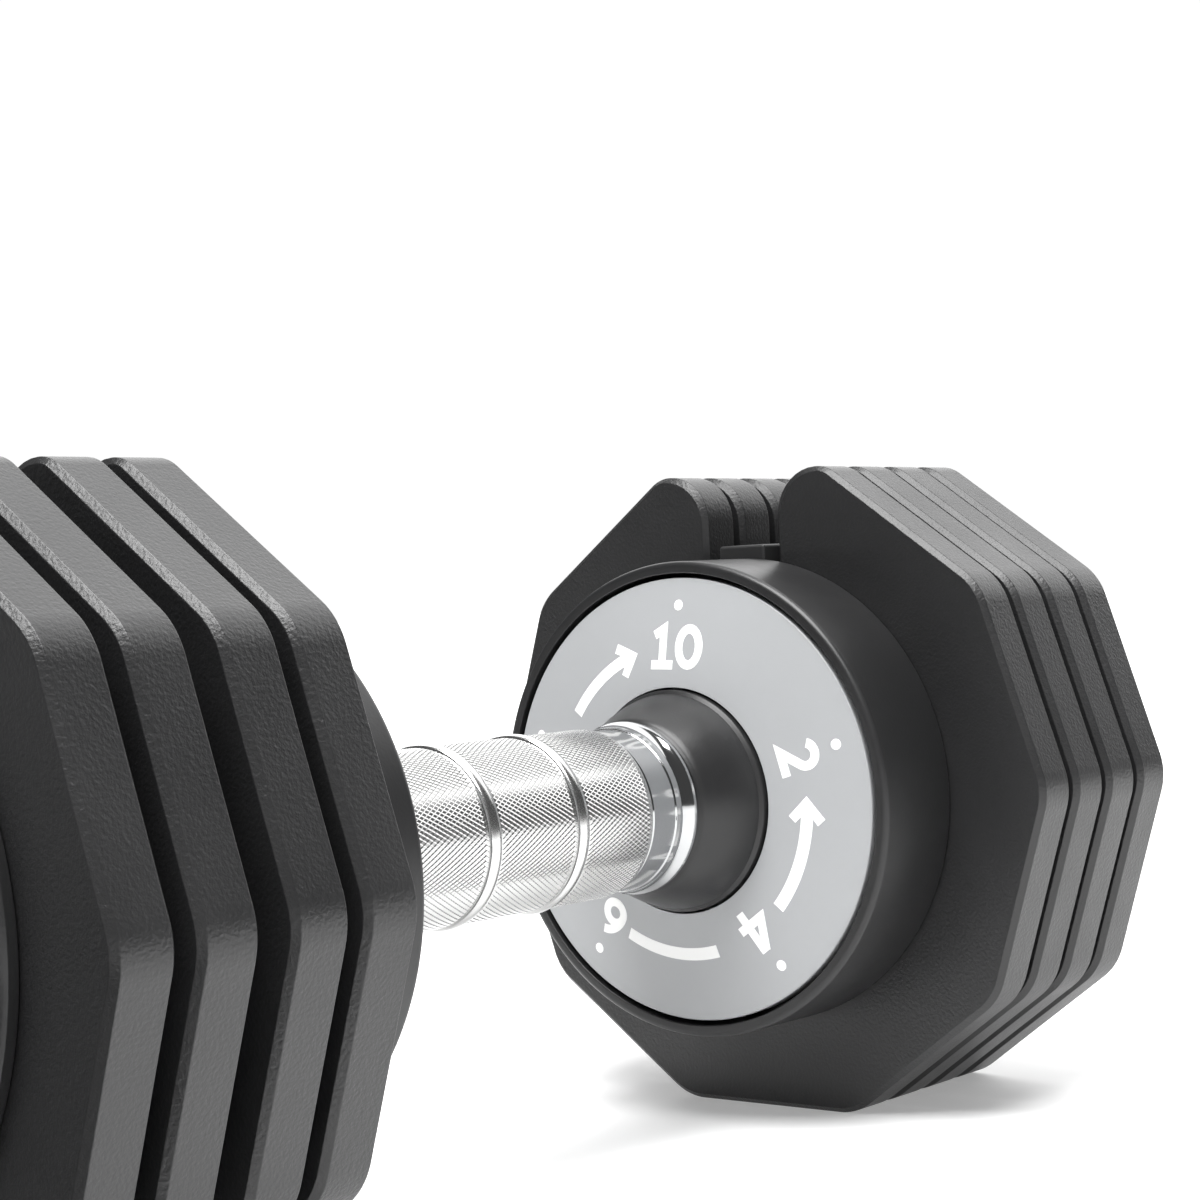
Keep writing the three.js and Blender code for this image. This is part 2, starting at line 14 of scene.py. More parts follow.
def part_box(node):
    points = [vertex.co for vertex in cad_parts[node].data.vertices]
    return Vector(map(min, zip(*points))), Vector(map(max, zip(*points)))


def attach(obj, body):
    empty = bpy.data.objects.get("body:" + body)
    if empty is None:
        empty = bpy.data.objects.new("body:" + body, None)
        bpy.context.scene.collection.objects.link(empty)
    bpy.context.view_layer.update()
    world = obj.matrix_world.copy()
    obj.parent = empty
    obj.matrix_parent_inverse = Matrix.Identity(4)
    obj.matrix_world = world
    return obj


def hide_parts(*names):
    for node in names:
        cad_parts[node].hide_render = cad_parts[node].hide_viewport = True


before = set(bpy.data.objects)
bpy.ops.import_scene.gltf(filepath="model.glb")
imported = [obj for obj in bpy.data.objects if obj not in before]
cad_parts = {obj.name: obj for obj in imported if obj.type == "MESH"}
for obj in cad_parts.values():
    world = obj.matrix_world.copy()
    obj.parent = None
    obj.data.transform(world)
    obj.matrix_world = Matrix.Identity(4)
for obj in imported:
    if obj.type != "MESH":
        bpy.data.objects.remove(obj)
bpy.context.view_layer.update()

MM = 0.001
SIDES = {"far": 1, "near": -1}

# ---- Where things are, from the CAD ----------------------------------------------------------
grip_low, grip_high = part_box("grip_sleeve")
MIDDLE_X = (grip_low.x + grip_high.x) / 2
AXIS_Z = (grip_low.z + grip_high.z) / 2


def span(node, side):
    """Start and end of a CAD node outwards from the handle's middle, and its radius, in mm."""
    low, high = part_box(f"{node}_{side}")
    ends = sorted(abs(x - MIDDLE_X) / MM for x in (low.x, high.x))
    return ends[0], ends[1], (high.z - AXIS_Z) / MM


def place(x, y, z, side):
    """A point in mm, outwards, across and up from the handle's middle, in the row's frame."""
    return Vector((MIDDLE_X + SIDES[side] * x * MM, y * MM, AXIS_Z + z * MM))


# ---- Outlines --------------------------------------------------------------------------------
def filleted(corners, steps=5):
    """The corners (a, b, radius) as points, with an arc at each corner that has a radius."""
    points = []
    for i, (a, b, radius) in enumerate(corners):
        here = Vector((a, b))
        if radius == 0:
            points.append(here)
            continue
        before = (Vector(corners[i - 1][:2]) - here).normalized()
        after = (Vector(corners[(i + 1) % len(corners)][:2]) - here).normalized()
        half = before.angle(after) / 2
        centre = here + (before + after).normalized() * (radius / math.sin(half))
        start = here + before * (radius / math.tan(half)) - centre
        turn = math.pi - 2 * half
        if before.x * after.y > before.y * after.x:
            turn = -turn
        for k in range(steps + 1):
            step = Matrix.Rotation(turn * k / steps, 2)
            points.append(centre + step @ start)
    return points


# ---- Meshes ----------------------------------------------------------------------------------
# Turned meshes start this share of a segment off the axes, so that no cut passes along their edges.
SEAM_SHIFT = 0.3


def ring_faces(mesh, rings, closed):
    """Faces between each ring of vertices and the next. A ring on the axis is one vertex."""
    last = len(rings) if closed else len(rings) - 1
    for i in range(last):
        near_ring, far_ring = rings[i], rings[(i + 1) % len(rings)]
        count = max(len(near_ring), len(far_ring))
        if count == 1:
            continue
        for k in range(count):
            n = (k + 1) % count
            corners = (near_ring[k % len(near_ring)], near_ring[n % len(near_ring)],
                       far_ring[n % len(far_ring)], far_ring[k % len(far_ring)])
            mesh.faces.new(list(dict.fromkeys(corners)))


def turned_mesh(profile, side, segments=144, centre=(0, 0)):
    """A closed profile of (x, radius) turned about a line along the handle."""
    mesh = bmesh.new()
    rings = []
    for x, radius in profile:
        ring = []
        for k in range(segments if radius > 0 else 1):
            angle = 2 * math.pi * (k + SEAM_SHIFT) / segments
            y = centre[0] + radius * math.cos(angle)
            z = centre[1] + radius * math.sin(angle)
            ring.append(mesh.verts.new(place(x, y, z, side)))
        rings.append(ring)
    ring_faces(mesh, rings, closed=True)
    bmesh.ops.remove_doubles(mesh, verts=mesh.verts, dist=1e-7)
    return mesh


def block_mesh(low, high, side, bevel=0.0):
    """A box between two corners (x, y, z), with its edges bevelled."""
    mesh = bmesh.new()
    corner_a, corner_b = place(*low, side), place(*high, side)
    centre, size = (corner_a + corner_b) / 2, corner_b - corner_a
    scale = Matrix.Diagonal((abs(size.x), abs(size.y), abs(size.z), 1))
    bmesh.ops.create_cube(mesh, size=1, matrix=Matrix.Translation(centre) @ scale)
    if bevel:
        bmesh.ops.bevel(mesh, geom=mesh.edges[:], offset=bevel * MM, segments=3,
                        profile=0.5, affect="EDGES")
    return mesh


def object_of(name, mesh):
    bmesh.ops.recalc_face_normals(mesh, faces=mesh.faces)
    data = bpy.data.meshes.new(name)
    mesh.to_mesh(data)
    mesh.free()
    made = bpy.data.objects.new(name, data)
    bpy.context.scene.collection.objects.link(made)
    return made


def boolean(target, tool_mesh, operation):
    """Cuts a tool out of an object, or joins it on."""
    tool = object_of("tool", tool_mesh)
    modifier = target.modifiers.new("boolean", "BOOLEAN")
    modifier.operation = operation
    modifier.solver = "EXACT"
    modifier.object = tool
    graph = bpy.context.evaluated_depsgraph_get()
    result = bpy.data.meshes.new_from_object(target.evaluated_get(graph))
    target.modifiers.clear()
    target.data = result
    bpy.data.objects.remove(tool)


def finished(piece, material, body, nodes, smooth_angle=35):
    """Shades a piece, gives it its material, hangs it on its body and hides the CAD nodes it stands
    for.
    """
    piece.data.materials.clear()
    piece.data.materials.append(material)
    piece.data.shade_smooth()
    piece.data.set_sharp_from_angle(angle=math.radians(smooth_angle))
    weighted = piece.modifiers.new("weighted", "WEIGHTED_NORMAL")
    weighted.keep_sharp = True
    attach(piece, body)
    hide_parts(*nodes)
    return piece


# ---- Materials -------------------------------------------------------------------------------
PATCH_SCALE = 25
SMOOTHEST = 0.02


def surface(name, colour, roughness, metallic=0.0, grain=800.0, bump=0.0, colour_change=0.15,
            roughness_change=0.1, specular=0.5):
    """A material with fine grain in its bump, and broad soft patches in colour and roughness."""
    material = bpy.data.materials.new(name)
    material.use_nodes = True
    nodes, links = material.node_tree.nodes, material.node_tree.links
    shader = nodes["Principled BSDF"]
    shader.inputs["Metallic"].default_value = metallic
    shader.inputs["Specular IOR Level"].default_value = specular
    where = nodes.new("ShaderNodeTexCoord")

    patches = nodes.new("ShaderNodeTexNoise")
    patches.inputs["Scale"].default_value = PATCH_SCALE
    patches.inputs["Detail"].default_value = 6
    patches.inputs["Roughness"].default_value = 0.6
    links.new(where.outputs["Object"], patches.inputs["Vector"])

    fine = nodes.new("ShaderNodeTexNoise")
    fine.inputs["Scale"].default_value = grain
    fine.inputs["Detail"].default_value = 3
    links.new(where.outputs["Object"], fine.inputs["Vector"])

    tint = nodes.new("ShaderNodeMapRange")
    tint.inputs["To Min"].default_value = 1 - colour_change
    tint.inputs["To Max"].default_value = 1 + colour_change
    links.new(patches.outputs["Fac"], tint.inputs["Value"])
    shade = nodes.new("ShaderNodeMix")
    shade.data_type = "RGBA"
    shade.blend_type = "MULTIPLY"
    shade.inputs["Factor"].default_value = 1
    shade.inputs["A"].default_value = (*colour, 1)
    links.new(tint.outputs["Result"], shade.inputs["B"])
    links.new(shade.outputs["Result"], shader.inputs["Base Color"])

    gloss = nodes.new("ShaderNodeMapRange")
    gloss.inputs["From Min"].default_value = 0.3
    gloss.inputs["From Max"].default_value = 0.7
    gloss.inputs["To Min"].default_value = max(roughness - roughness_change, SMOOTHEST)
    gloss.inputs["To Max"].default_value = roughness + roughness_change
    links.new(patches.outputs["Fac"], gloss.inputs["Value"])
    links.new(gloss.outputs["Result"], shader.inputs["Roughness"])

    if bump:
        relief = nodes.new("ShaderNodeBump")
        relief.inputs["Strength"].default_value = 1
        relief.inputs["Distance"].default_value = bump * MM
        links.new(fine.outputs["Fac"], relief.inputs["Height"])
        links.new(relief.outputs["Normal"], shader.inputs["Normal"])
    return material


plate_coating = surface("plate_coating", (0.0125, 0.0125, 0.013), 0.4, grain=1500, bump=0.12,
                        colour_change=0.2, roughness_change=0.06)
drum_plastic = surface("drum_plastic", (0.014, 0.014, 0.0145), 0.38, grain=1800, bump=0.02,
                       specular=0.42)
hub_plastic = surface("hub_plastic", (0.014, 0.014, 0.0145), 0.38, grain=1800, bump=0.02,
                      specular=0.4)
cover_plastic = surface("cover_plastic", (0.014, 0.014, 0.0145), 0.42, grain=1500, bump=0.05)
dial_plastic = surface("dial_plastic", (0.335, 0.342, 0.35), 0.4, grain=1500, bump=0.008,
                       colour_change=0.03, roughness_change=0.05)
print_white = surface("print_white", (0.86, 0.86, 0.85), 0.45, grain=2500, bump=0.01,
                      colour_change=0.03)
# Painted shade: the collar's chrome is a darker copy of the grip's, its colour lowered to stand in
# for the dimmer surroundings that it reflects.
chrome = surface("chrome", (0.44, 0.445, 0.45), 0.1, metallic=1, grain=500, bump=0.0015,
                 colour_change=0.03, roughness_change=0.03)
knurl_chrome = surface("knurl_chrome", (0.57, 0.57, 0.566), 0.22, metallic=1, grain=900,
                       bump=0.003, colour_change=0.05, roughness_change=0.05)
steel = surface("steel", (0.52, 0.52, 0.54), 0.3, metallic=1, grain=1200, bump=0.01,
                colour_change=0.1)
rail_steel = surface("rail_steel", (0.018, 0.018, 0.0185), 0.48, grain=1200, bump=0.015,
                     specular=0.3)
black_zinc = surface("black_zinc", (0.035, 0.035, 0.037), 0.3, metallic=1, grain=1500, bump=0.01)
bronze = surface("bronze", (0.45, 0.31, 0.14), 0.42, metallic=1, grain=1500, bump=0.02)


# ---- Weight plates ---------------------------------------------------------------------------
PLATE_SIDES = 10
PLATE_THICKNESS = 11
PLATE_CORNER = 13
PLATE_CHAMFER = 1.1
CHAMFER_FILLET = 0.35
FACE_BAND = 2.2  # flat ring of face beside the chamfer
NOTCH_HALF = 9.2
NOTCH_FLOOR = 40
NOTCH_LOBE = 10
LOBE_CUT_BACK = 0.9
CORNER_TIGHTER = 2.6
NOTCH_CORNER = 8
NOTCH_ROUNDNESS = 0.999  # a hair under a half circle, so that the two corner arcs don't meet
BORE_RADIUS = 13.1
HOOK_NECK = 7
HOOK_HEAD = 11
HOOK_HEAD_THICKNESS = 2.4
HOOK_LOW, HOOK_HIGH = -48, -28
HOOK_LIP = 2.2
NECK_INSET = 0.3  # the neck starts inside the hook's head
NECK_ROOT = 1.5  # and ends this deep inside the plate
SLOT_CLEARANCE = 0.6
HOOK_SLOT_DEPTH = 8.5
PLATES_PER_END = 4
PAST = 1  # how far a cutter runs past the face that it cuts


def plate_outline(apothem, inset):
    """The ten-sided outline (y, z) about the handle's axis, with its notch at the top.

    inset draws it smaller by that much. The lobes beside the notch are cut back further.
    """
    share = min(inset / PLATE_CHAMFER, 1)
    circumradius = (apothem - inset) / math.cos(math.pi / PLATE_SIDES)
    corners = []
    for i in range(PLATE_SIDES):
        angle = math.pi / 2 - (i + 0.5) * 2 * math.pi / PLATE_SIDES
        beside_notch = i in (0, PLATE_SIDES - 1)
        radius = NOTCH_CORNER - CORNER_TIGHTER * share if beside_notch else PLATE_CORNER
        corners.append((circumradius * math.cos(angle), circumradius * math.sin(angle),
                        radius - inset))
    lobe = NOTCH_LOBE + LOBE_CUT_BACK * share - inset
    side, top, floor_z = NOTCH_HALF + inset, apothem - inset, NOTCH_FLOOR - inset
    corners.append((-side, top, lobe))
    corners.append((-side, floor_z, side * NOTCH_ROUNDNESS))
    corners.append((side, floor_z, side * NOTCH_ROUNDNESS))
    corners.append((side, top, lobe))
    return filleted(corners, steps=9)


def plate_blank(face_x, side, apothem):
    """The plate without its bore, hook and slot. face_x is its inner face."""
    depth, edge, flat = PLATE_THICKNESS, PLATE_CHAMFER, PLATE_CHAMFER + FACE_BAND
    profile = filleted([
        (0, flat, 0),
        (0, edge, CHAMFER_FILLET),
        (edge, 0, CHAMFER_FILLET),
        (depth - edge, 0, CHAMFER_FILLET),
        (depth, edge, CHAMFER_FILLET),
        (depth, flat, 0),
    ], steps=3)
    mesh = bmesh.new()
    rings = []
    for x, inset in profile:
        outline = plate_outline(apothem, inset)
        rings.append([mesh.verts.new(place(face_x + x, y, z, side)) for y, z in outline])
    ring_faces(mesh, rings, closed=False)
    mesh.faces.new(rings[0])
    mesh.faces.new(rings[-1])
    return object_of("plate", mesh)


def weight_plate(index, side):
    """One plate: its blank, less the bore and the hook slot, with its own hook joined on."""
    node = f"weight_plate_{index}_{side}"
    hook_x, outer_x, apothem = span(f"weight_plate_{index}", side)
    face_x = outer_x - PLATE_THICKNESS
    plate = plate_blank(face_x, side, apothem)
    bore = [(face_x - PAST, 0), (outer_x + PAST, 0), (outer_x + PAST, BORE_RADIUS),
            (face_x - PAST, BORE_RADIUS)]
    boolean(plate, turned_mesh(bore, side, 72), "DIFFERENCE")
    if index < PLATES_PER_END:
        mouth_x = outer_x - HOOK_LIP
        neck, head = HOOK_NECK + SLOT_CLEARANCE, HOOK_HEAD + SLOT_CLEARANCE
        top = HOOK_HIGH + SLOT_CLEARANCE
        below = -apothem - 2 * PAST
        boolean(plate, block_mesh((mouth_x - PAST, -neck, below), (outer_x + PAST, neck, top),
                                  side), "DIFFERENCE")
        boolean(plate, block_mesh((outer_x - HOOK_SLOT_DEPTH, -head, below),
                                  (mouth_x, head, top), side), "DIFFERENCE")
    neck_start, neck_end = hook_x + NECK_INSET, face_x + NECK_ROOT
    boolean(plate, block_mesh((neck_start, -HOOK_NECK, HOOK_LOW),
                              (neck_end, HOOK_NECK, HOOK_HIGH), side, 0.4), "UNION")
    boolean(plate, block_mesh((hook_x, -HOOK_HEAD, HOOK_LOW),
                              (hook_x + HOOK_HEAD_THICKNESS, HOOK_HEAD, HOOK_HIGH), side, 0.5),
            "UNION")
    plate.name = f"plate_{index}_{side}"
    finished(plate, plate_coating, "root", [node], 40)


# ---- Drum, dial and hub ----------------------------------------------------------------------
DRUM_BORE = 46.9
DRUM_FILLET = 1.3
WEB_THICKNESS = 2.8
WEB_FROM_BACK = 6
WEB_BORE = 19
DIAL_BORE = 23.35
DIAL_RISE = 3.5
PLUNGER_HALF_WIDTH = 4.3
PLUNGER_SLOT_START = 2.9  # how far inwards of the plunger's outer face its slot in the drum starts
PLUNGER_GAP = 0.3
HOOK_MOUTH_DEPTH = 5.3
HUB_RIM_LENGTH = 0.9
HUB_NECK = 16.9
HUB_BORE = 15.2
HUB_FLARE_STEPS = 14
HUB_FLARE_POWER = 1.35


def drum_housing(side):
    """The drum, with the web inside it that carries the bearing, and its cuts underneath."""
    front, back, radius = span("drum_housing", side)
    web = back - WEB_FROM_BACK
    profile = filleted([
        (front, DRUM_BORE, 0.25),
        (front, radius, DRUM_FILLET),
        (back, radius, 0.3),
        (back, DRUM_BORE, 0),
        (web, DRUM_BORE, 0),
        (web, WEB_BORE, 0),
        (web - WEB_THICKNESS, WEB_BORE, 0),
        (web - WEB_THICKNESS, DRUM_BORE, 0),
    ], steps=6)
    drum = object_of("drum", turned_mesh(profile, side, 192))
    plunger_x = span("lock_plunger", side)[1]
    below = -radius - PAST
    cut = block_mesh((plunger_x - PLUNGER_SLOT_START, -PLUNGER_HALF_WIDTH, below),
                     (plunger_x + PLUNGER_GAP, PLUNGER_HALF_WIDTH, -DRUM_BORE + 3 * PAST), side)
    boolean(drum, cut, "DIFFERENCE")
    head = HOOK_HEAD + SLOT_CLEARANCE
    hook_mouth = block_mesh((back - HOOK_MOUTH_DEPTH, -head, below),
                            (back + PAST, head, -DRUM_BORE + 4 * PAST), side)
    boolean(drum, hook_mouth, "DIFFERENCE")
    drum.name = f"drum_{side}"
    finished(drum, drum_plastic, "root", [f"drum_housing_{side}"])


def dial_x(radius, side):
    """Where the dial's face is at a radius. It is a shallow cone, further forward round the hub."""
    inner_x, _, edge = span("dial", side)
    return inner_x + DIAL_RISE * (radius - DIAL_BORE) / (edge - DIAL_BORE)


def dial(side):
    inner_x, back, radius = span("dial", side)
    profile = filleted([
        (inner_x, DIAL_BORE, 0.1),
        (dial_x(radius, side), radius, 0.35),
        (back, radius, 0.2),
        (back, DIAL_BORE, 0),
    ], steps=4)
    piece = object_of(f"dial_face_{side}", turned_mesh(profile, side, 192))
    finished(piece, dial_plastic, "handle", [f"dial_{side}"])


def hub(side):
    """The black cone round the handle, which swells out to a short rim inside the dial."""
    start, back, radius = span("hub", side)
    rim_x = span("dial", side)[0] - HUB_RIM_LENGTH
    outline = [(start, HUB_BORE, 0), (start, HUB_NECK - 0.3, 0.2),
               (start + 0.5, HUB_NECK + 0.2, 0.3)]
    flare_start, flare_low = start + 0.9, HUB_NECK + 0.75
    flare_end, flare_high = rim_x - 0.6, radius - 0.75
    for k in range(HUB_FLARE_STEPS + 1):
        share = k / HUB_FLARE_STEPS
        bulge = 1 - (1 - share) ** HUB_FLARE_POWER
        outline.append((flare_start + (flare_end - flare_start) * share,
                        flare_low + (flare_high - flare_low) * bulge, 0))
    outline.append((rim_x, radius, 0.5))
    outline.append((back, radius, 0))
    outline.append((back, HUB_BORE, 0))
    piece = object_of(f"hub_cone_{side}", turned_mesh(filleted(outline, steps=5), side))
    finished(piece, hub_plastic, "handle", [f"hub_{side}"])


# ---- What is printed on the dial -------------------------------------------------------------
NUMBER_RADIUS = 31.7
NUMBER_HEIGHT = 9.3
FIGURE_STROKE = 1.9
FIGURE_SPACING = 6.7
DOT_RADIUS_AT = 40.3
DOT_RADIUS = 1.1
ARC_RADIUS = 31.9
ARC_WIDTH = 2.6
HEAD_LENGTH = 3.9
HEAD_HALF_WIDTH = 3.9
BARB_WIDTH = 2.0
PRINT_HEIGHT = 0.05
PRINT_DEPTH = 0.15
CROSSING_HEIGHT = 0.01
WEIGHTS = ("10", "2", "4", "6", "8")
STEP_DEGREES = 360 / len(WEIGHTS)
PRINT_TURN = 1.5
# Each arc: where it starts and ends, in degrees clockwise from the top, and whether it has a head.
ARCS = ((-57, -18.5, True), (130.5, 86.5, True), (164, 206.5, False), (236, 270, False))


def dial_frame(degrees, side):
    """Across and outward directions (y, z) at an angle clockwise as seen from the handle."""
    angle = math.radians(degrees)
    flip = -SIDES[side]
    across = Vector((flip * math.cos(angle), -math.sin(angle)))
    outward = Vector((flip * math.sin(angle), math.cos(angle)))
    return across, outward


def on_dial(point, height, side):
    """A point (y, z) at a height above the dial's face."""
    return place(dial_x(point.length, side) - height, *point, side)


def oval(centre, half_width, half_height, start, end, steps=28):
    """Points round an oval, between two angles in degrees."""
    points = []
    for k in range(steps + 1):
        angle = math.radians(start + (end - start) * k / steps)
        points.append(Vector((centre[0] + half_width * math.cos(angle),
                              centre[1] + half_height * math.sin(angle))))
    return points


def figure_strokes():
    """The middle lines of each figure's strokes, and whether a stroke closes on itself."""
    top = (NUMBER_HEIGHT - FIGURE_STROKE) / 2
    corner = FIGURE_STROKE / 2
    return {
        "0": [(oval((0, 0), 2.55, top, 0, 360), True)],
        "1": [([Vector((-2.3, top - 1.3)), Vector((0, top)), Vector((0, -top))], False),
              ([Vector((-2.8, -top)), Vector((2.8, -top))], False)],
        "2": [(oval((-0.1, top - 2.2), 2.3, 2.2, 155, -35)
               + [Vector((-1.9, -top)), Vector((3.1, -top))], False)],
        "4": [([Vector((0.7, top + 0.6)), Vector((-2.7, -1.5)), Vector((3.5, -1.5))], False),
              ([Vector((1.1, -top - corner)), Vector((1.1, top + corner))], False)],
        "6": [(oval((2.0, -1.45), 4.35, 5.2, 103, 176, 14), False),
              (oval((0, -1.45), 2.35, 2.25, 0, 360), True)],
        "8": [(oval((0, 1.95), 1.95, top - 1.95, 0, 360), True),
              (oval((0, -1.75), 2.4, top - 1.75, 0, 360), True)],
    }


def stroke_sides(points, closed, width):
    """Points to the left and right of a stroke's middle line, mitred at its corners."""
    lefts, rights = [], []
    count = len(points)
    for i, point in enumerate(points):
        before = points[i - 1] if closed or i > 0 else None
        after = points[(i + 1) % count] if closed or i < count - 1 else None
        into = (point - before).normalized() if before is not None else None
        out = (after - point).normalized() if after is not None else None
        into, out = into or out, out or into
        normal = Vector((-into.y - out.y, into.x + out.x)).normalized()
        reach = width / 2 / max(normal.dot(Vector((-into.y, into.x))), 0.35)
        lefts.append(point + normal * reach)
        rights.append(point - normal * reach)
    return lefts, rights


def print_stroke(mesh, points, closed, width, to_dial, height):
    """A thin raised stroke. to_dial turns its flat points and a height into places."""
    if closed:
        points = points[:-1]
    edges = stroke_sides(points, closed, width)
    low = [[mesh.verts.new(to_dial(p, -PRINT_DEPTH)) for p in edge] for edge in edges]
    high = [[mesh.verts.new(to_dial(p, height)) for p in edge] for edge in edges]
    corners = list(zip(low[0], high[0], high[1], low[1]))
    last = len(corners) if closed else len(corners) - 1
    for i in range(last):
        here, there = corners[i], corners[(i + 1) % len(corners)]
        for a in range(4):
            b = (a + 1) % 4
            mesh.faces.new((here[a], here[b], there[b], there[a]))
    if not closed:
        mesh.faces.new(corners[0])
        mesh.faces.new(corners[-1])


def print_number(mesh, text, degrees, side):
    across, outward = dial_frame(degrees, side)
    for k, figure in enumerate(text):
        shift = FIGURE_SPACING * (k - (len(text) - 1) / 2)

        def to_dial(point, height):
            return on_dial(across * (point.x + shift) + outward * (point.y + NUMBER_RADIUS),
                           height, side)

        for n, (points, closed) in enumerate(figure_strokes()[figure]):
            print_stroke(mesh, points, closed, FIGURE_STROKE, to_dial,
                         PRINT_HEIGHT + n * CROSSING_HEIGHT)


def print_arc(mesh, start, end, headed, side):
    """A stroke bent round the dial, with two barbs at its end if it is an arrow."""
    toward = 1 if end > start else -1

    def to_dial(point, height):
        degrees = end + toward * math.degrees(point.x / ARC_RADIUS)
        return on_dial(dial_frame(degrees, side)[1] * (ARC_RADIUS + point.y), height, side)

    length = math.radians(abs(end - start)) * ARC_RADIUS
    tip = BARB_WIDTH if headed else 0
    steps = 24
    shaft = [Vector((-length + (length - tip) * k / steps, 0)) for k in range(steps + 1)]
    print_stroke(mesh, shaft, False, ARC_WIDTH, to_dial, PRINT_HEIGHT)
    if headed:
        back, wide = -HEAD_LENGTH - BARB_WIDTH / 2, HEAD_HALF_WIDTH - BARB_WIDTH / 3
        barbs = [Vector((back, wide)), Vector((-BARB_WIDTH / 2 - 0.4, 0)), Vector((back, -wide))]
        print_stroke(mesh, barbs, False, BARB_WIDTH, to_dial, PRINT_HEIGHT + CROSSING_HEIGHT)


def print_dot(mesh, degrees, side):
    centre = dial_frame(degrees, side)[1] * DOT_RADIUS_AT
    points = oval(centre, DOT_RADIUS, DOT_RADIUS, 0, 360)[:-1]
    low = [mesh.verts.new(on_dial(point, -PRINT_DEPTH, side)) for point in points]
    high = [mesh.verts.new(on_dial(point, PRINT_HEIGHT, side)) for point in points]
    mesh.faces.new(low)
    mesh.faces.new(high)
    ring_faces(mesh, [low, high], closed=False)


def dial_print(side):
    order = WEIGHTS if side == "far" else WEIGHTS[:1] + WEIGHTS[:0:-1]
    mirror = 1 if side == "far" else -1
    mesh = bmesh.new()
    for i, text in enumerate(order):
        degrees = i * STEP_DEGREES + mirror * PRINT_TURN
        print_number(mesh, text, degrees, side)
        print_dot(mesh, degrees, side)
    for start, end, headed in ARCS:
        print_arc(mesh, mirror * (start + PRINT_TURN), mirror * (end + PRINT_TURN), headed, side)
    piece = object_of(f"dial_print_{side}", mesh)
    finished(piece, print_white, "handle", [])


# ---- Grip and collars ------------------------------------------------------------------------
KNURL_COUNT = 108
KNURL_ANGLE = 30
KNURL_DEPTH = 0.11
KNURL_TOP = 0.66
BEAD_AT = 12.4
BEAD_HALF_WIDTH = 1.5
BEAD_HEIGHT = 0.6
BEAD_MARGIN = 0.25
BEAD_STEPS = 12
BEAD_ROOT = 0.05  # how far a bead's foot dips below the knurl's floor
BAND_INSET = 0.6
GRIP_CHAMFER = 0.4
GRIP_BORE = 15.0


def grip_ring(mesh, x, radius, shift=0.0):
    ring = []
    for k in range(KNURL_COUNT):
        angle = 2 * math.pi * (k + shift) / KNURL_COUNT
        ring.append(mesh.verts.new(place(x, radius * math.cos(angle), radius * math.sin(angle),
                                         "far")))
    return ring


def knurl(mesh, x0, x1, top_radius):
    """Diamond knurling from x0 to x1. Gives back its first and last ring."""
    low_radius = top_radius - KNURL_DEPTH
    half_pitch = math.pi * top_radius / KNURL_COUNT / math.tan(math.radians(KNURL_ANGLE))
    rows = 2 * round((x1 - x0) / half_pitch / 2)
    step = (x1 - x0) / rows
    rings = [grip_ring(mesh, x0 + j * step, low_radius, 0.5 * (j % 2)) for j in range(rows + 1)]
    for end, inner in ((rings[0], rings[1]), (rings[-1], rings[-2])):
        for k in range(KNURL_COUNT):
            mesh.faces.new((end[k], end[(k + 1) % KNURL_COUNT], inner[k]))
    for j in range(1, rows):
        for k in range(KNURL_COUNT):
            k_next = (k + 1) % KNURL_COUNT
            between = k_next if j % 2 else k
            low = (rings[j][k], rings[j - 1][between], rings[j][k_next], rings[j + 1][between])
            middle = sum((v.co for v in (low[0], low[2])), Vector()) / 2
            from_axis = Vector((0, middle.y, middle.z - AXIS_Z)).normalized()
            top_middle = Vector((middle.x, 0, AXIS_Z)) + from_axis * top_radius * MM
            top = []
            for v in low:
                out = Vector((0, v.co.y, v.co.z - AXIS_Z)).normalized()
                above = Vector((v.co.x, 0, AXIS_Z)) + out * top_radius * MM
                top.append(mesh.verts.new(top_middle.lerp(above, KNURL_TOP)))
            mesh.faces.new(top)
            for a in range(4):
                b = (a + 1) % 4
                mesh.faces.new((low[a], low[b], top[b], top[a]))
    return rings[0], rings[-1]


